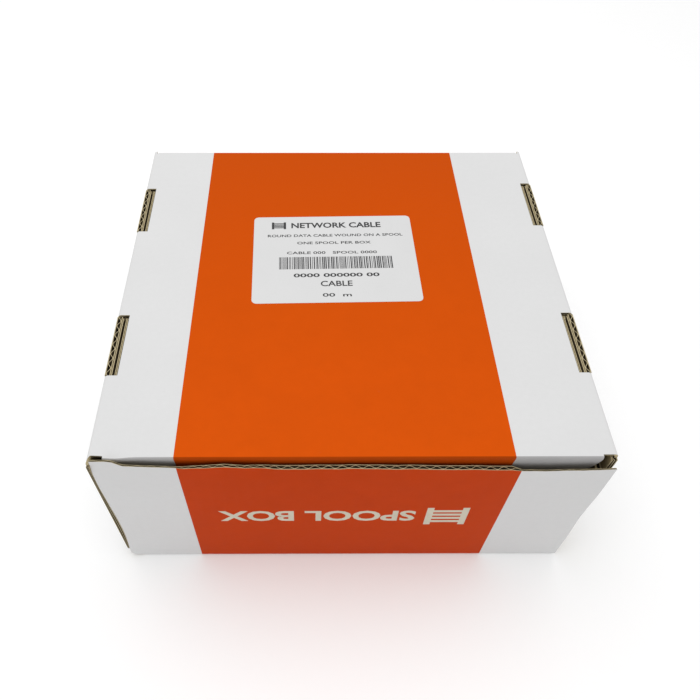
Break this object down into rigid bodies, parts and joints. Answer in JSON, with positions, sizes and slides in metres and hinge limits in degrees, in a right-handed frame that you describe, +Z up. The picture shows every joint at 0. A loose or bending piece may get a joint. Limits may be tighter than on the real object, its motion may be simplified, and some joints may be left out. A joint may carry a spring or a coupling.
{
  "type": "cable spool box",
  "caption": "Folded corrugated-board case with a hinged lid, side flaps and front tuck flap, holding a turning spool of data cable with a side outlet.",
  "frame": {"origin": "middle of the base of the case, at the surface it stands on", "axes": "+Z up, +X to the right and +Y to the back, seen from the front wall; the lid's crease is at the back"},
  "size_m": [0.26, 0.2525, 0.1152],
  "materials": {
    "white_board": "matte",
    "kraft_board": "matte",
    "printed_board": "satin",
    "label_paper": "satin",
    "paper_tube": "matte",
    "spool_plastic": "satin",
    "bush_plastic": "satin",
    "cable_jacket": "satin",
    "tape": "satin",
    "grommet_plastic": "satin"
  },
  "bodies": {
    "case": {"bottom_panel": "printed_board", "front_wall": "printed_board", "back_wall": "printed_board", "inner_side_left": "kraft_board", "inner_side_right": "kraft_board", "glue_tab_front_left": "kraft_board", "glue_tab_front_right": "kraft_board", "glue_tab_back_left": "kraft_board", "glue_tab_back_right": "kraft_board", "floor_pad": "kraft_board", "axle_foot": "spool_plastic", "axle_tube": "paper_tube", "axle_cap": "spool_plastic", "glide_ring": "bush_plastic", "outlet_grommet": "grommet_plastic", "outlet_lock_ring": "grommet_plastic"},
    "lid": {"lid_panel": "printed_board", "shipping_label": "label_paper"},
    "front_flap": {"tuck_flap": "printed_board"},
    "left_flap": {"side_flap_left": "white_board"},
    "right_flap": {"side_flap_right": "white_board"},
    "spool": {"spool_barrel": "paper_tube", "flange_lower": "spool_plastic", "flange_upper": "spool_plastic", "bush_lower": "bush_plastic", "bush_upper": "bush_plastic", "cable_winding": "cable_jacket", "end_tape": "tape"}
  },
  "joints": [
    {"name": "lid_crease", "type": "hinge", "parent": "case", "child": "lid", "pos_m": [0, 0.1235, 0.1135], "axis": [-1, 0, 0], "range_deg": [0, 120]},
    {"name": "front_flap_crease", "type": "hinge", "parent": "lid", "child": "front_flap", "pos_m": [0, -0.1203, 0.1135], "axis": [-1, 0, 0], "range_deg": [0, 48]},
    {"name": "left_flap_crease", "type": "hinge", "parent": "lid", "child": "left_flap", "pos_m": [-0.1285, 0, 0.1135], "axis": [0, 1, 0], "range_deg": [0, 90]},
    {"name": "right_flap_crease", "type": "hinge", "parent": "lid", "child": "right_flap", "pos_m": [0.1285, 0, 0.1135], "axis": [0, -1, 0], "range_deg": [0, 90]},
    {"name": "spool_spin", "type": "hinge", "parent": "case", "child": "spool", "pos_m": [0, 0.00381, 0.0565], "axis": [0, 0, 1], "continuous": true}
  ],
  "couplings": [
    {"joint": "front_flap_crease", "follows": "lid_crease", "ratio": 0.4}
  ]
}
